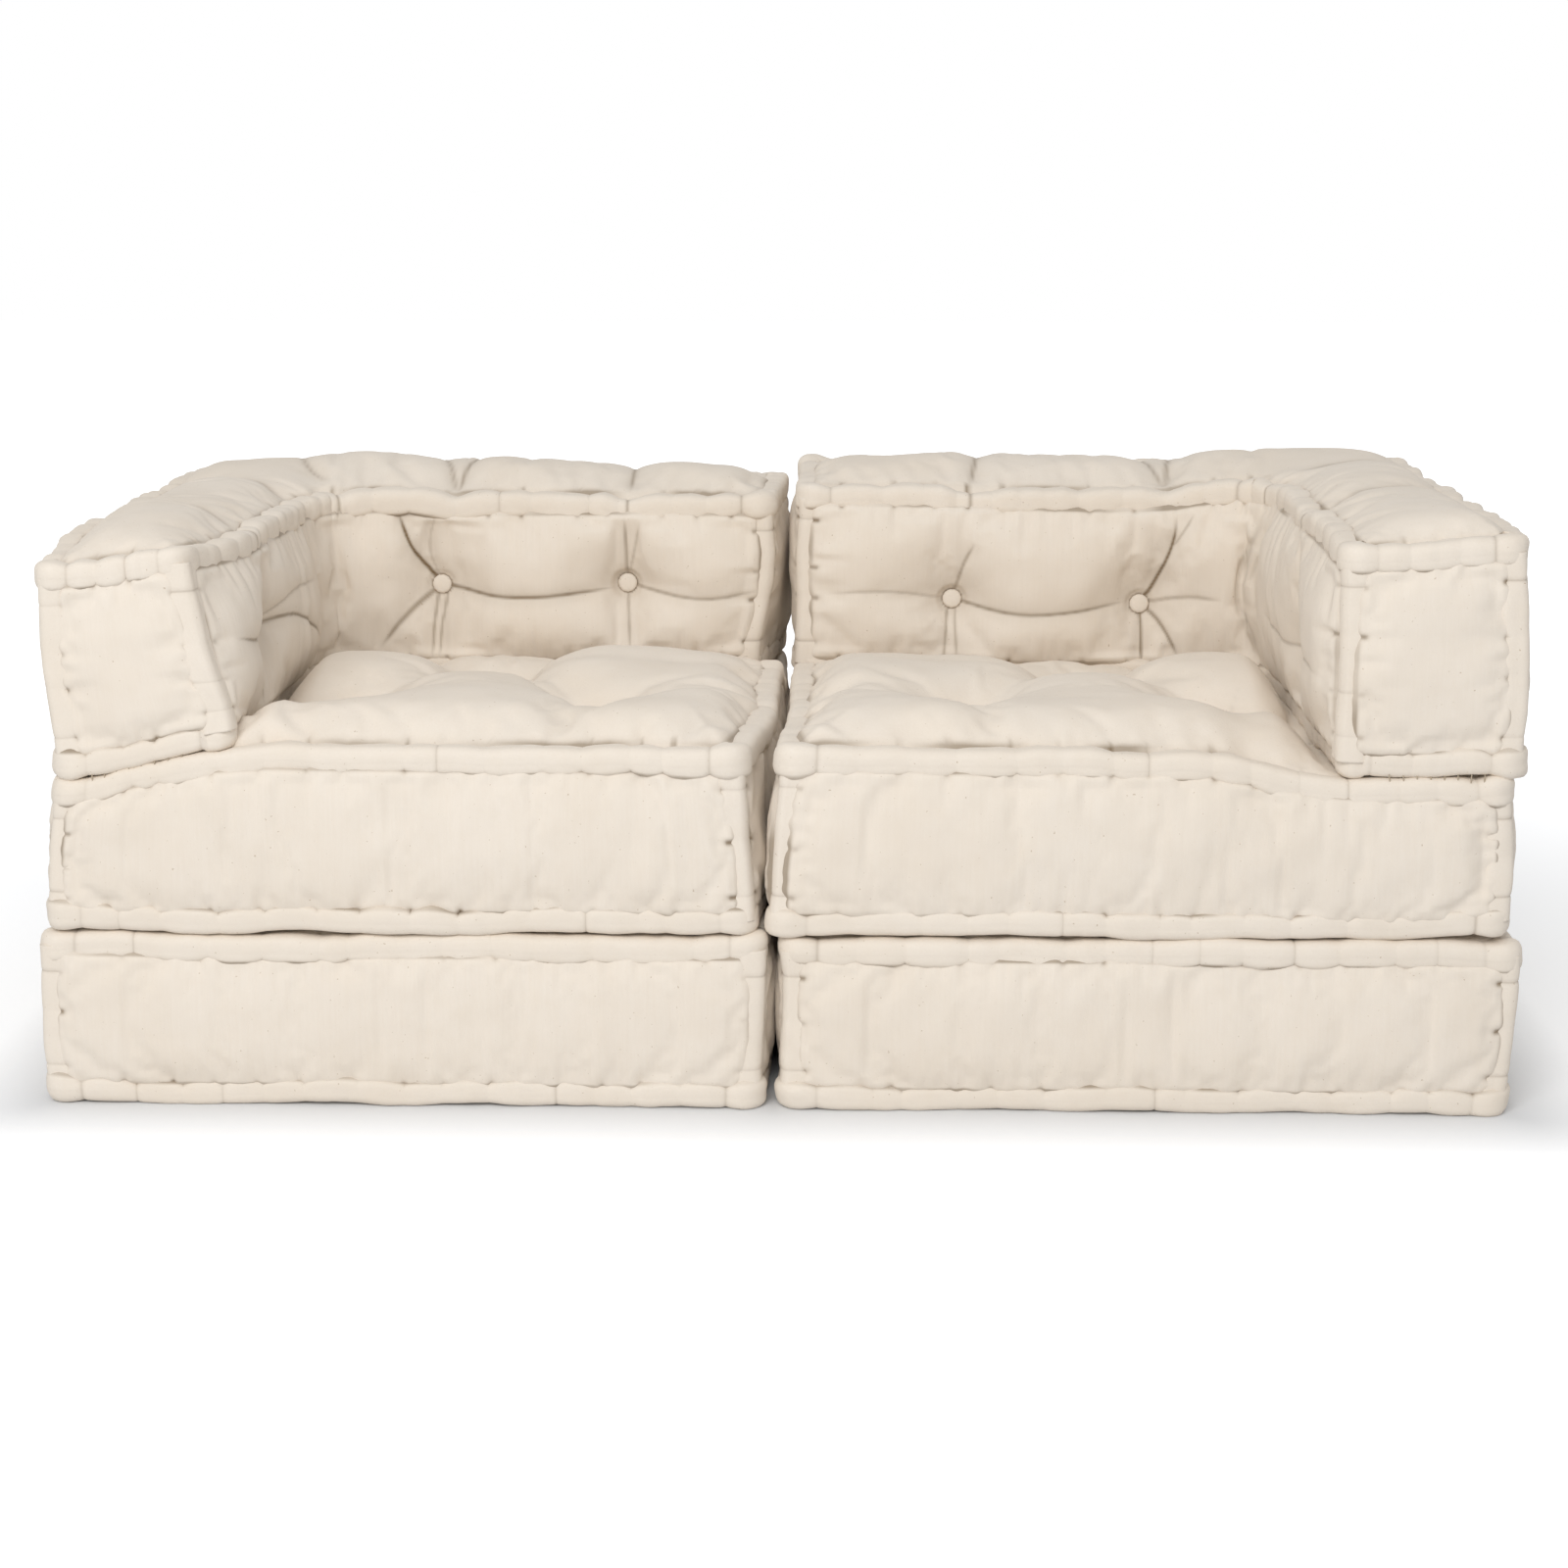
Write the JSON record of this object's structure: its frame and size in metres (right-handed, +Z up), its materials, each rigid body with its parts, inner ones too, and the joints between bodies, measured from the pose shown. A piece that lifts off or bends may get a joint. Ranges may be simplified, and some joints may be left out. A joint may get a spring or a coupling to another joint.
{
  "type": "modular sofa",
  "caption": "Low modular floor sofa of stacked cotton-stuffed cushions: square bases and seats, with L-shaped arm-and-back cushions, rolled hand-stitched edges and covered tufting buttons.",
  "frame": {"origin": "on the floor, under the middle of the whole sofa", "axes": "+X to the viewer's right along the sofa's length, +Y to the rear, +Z up"},
  "size_m": [1.4021, 0.7021, 0.5566],
  "materials": {
    "canvas_panels": "unbleached plain-weave cotton canvas",
    "canvas_rolls": "unbleached cotton canvas rolled and pinched over cotton wadding",
    "cotton_filling": "loose carded cotton",
    "covered_buttons": "button covered in the same canvas",
    "cotton_twine": "waxed cotton twine"
  },
  "bodies": {
    "left_base": {"left_base_top_panel": "canvas_panels", "left_base_bottom_panel": "canvas_panels", "left_base_side_panels": "canvas_panels", "left_base_top_roll": "canvas_rolls", "left_base_bottom_roll": "canvas_rolls", "left_base_corner_rolls": "canvas_rolls", "left_base_filling": "cotton_filling"},
    "left_seat_unit": {"left_seat_top_panel": "canvas_panels", "left_seat_bottom_panel": "canvas_panels", "left_seat_side_panels": "canvas_panels", "left_seat_top_roll": "canvas_rolls", "left_seat_bottom_roll": "canvas_rolls", "left_seat_corner_rolls": "canvas_rolls", "left_seat_filling": "cotton_filling", "left_seat_tuft_twine": "cotton_twine", "left_corner_top_panel": "canvas_panels", "left_corner_bottom_panel": "canvas_panels", "left_corner_side_panels": "canvas_panels", "left_corner_top_roll": "canvas_rolls", "left_corner_bottom_roll": "canvas_rolls", "left_corner_corner_rolls": "canvas_rolls", "left_corner_filling": "cotton_filling", "left_corner_inside_buttons": "covered_buttons", "left_corner_outside_buttons": "covered_buttons", "left_corner_tuft_twine": "cotton_twine", "left_corner_tack_stitches": "cotton_twine"},
    "right_base": {"right_base_top_panel": "canvas_panels", "right_base_bottom_panel": "canvas_panels", "right_base_side_panels": "canvas_panels", "right_base_top_roll": "canvas_rolls", "right_base_bottom_roll": "canvas_rolls", "right_base_corner_rolls": "canvas_rolls", "right_base_filling": "cotton_filling"},
    "right_seat_unit": {"right_seat_top_panel": "canvas_panels", "right_seat_bottom_panel": "canvas_panels", "right_seat_side_panels": "canvas_panels", "right_seat_top_roll": "canvas_rolls", "right_seat_bottom_roll": "canvas_rolls", "right_seat_corner_rolls": "canvas_rolls", "right_seat_filling": "cotton_filling", "right_seat_tuft_twine": "cotton_twine", "right_corner_top_panel": "canvas_panels", "right_corner_bottom_panel": "canvas_panels", "right_corner_side_panels": "canvas_panels", "right_corner_top_roll": "canvas_rolls", "right_corner_bottom_roll": "canvas_rolls", "right_corner_corner_rolls": "canvas_rolls", "right_corner_filling": "cotton_filling", "right_corner_inside_buttons": "covered_buttons", "right_corner_outside_buttons": "covered_buttons", "right_corner_tuft_twine": "cotton_twine", "right_corner_tack_stitches": "cotton_twine"}
  },
  "joints": [
    {"name": "left_seat_lift", "type": "slide", "parent": "left_base", "child": "left_seat_unit", "axis": [0, 0, 1], "range_m": [0, 0.42]},
    {"name": "right_module_slide", "type": "slide", "parent": "left_base", "child": "right_base", "axis": [1, 0, 0], "range_m": [0, 0.6]},
    {"name": "right_seat_lift", "type": "slide", "parent": "right_base", "child": "right_seat_unit", "axis": [0, 0, 1], "range_m": [0, 0.42]}
  ]
}
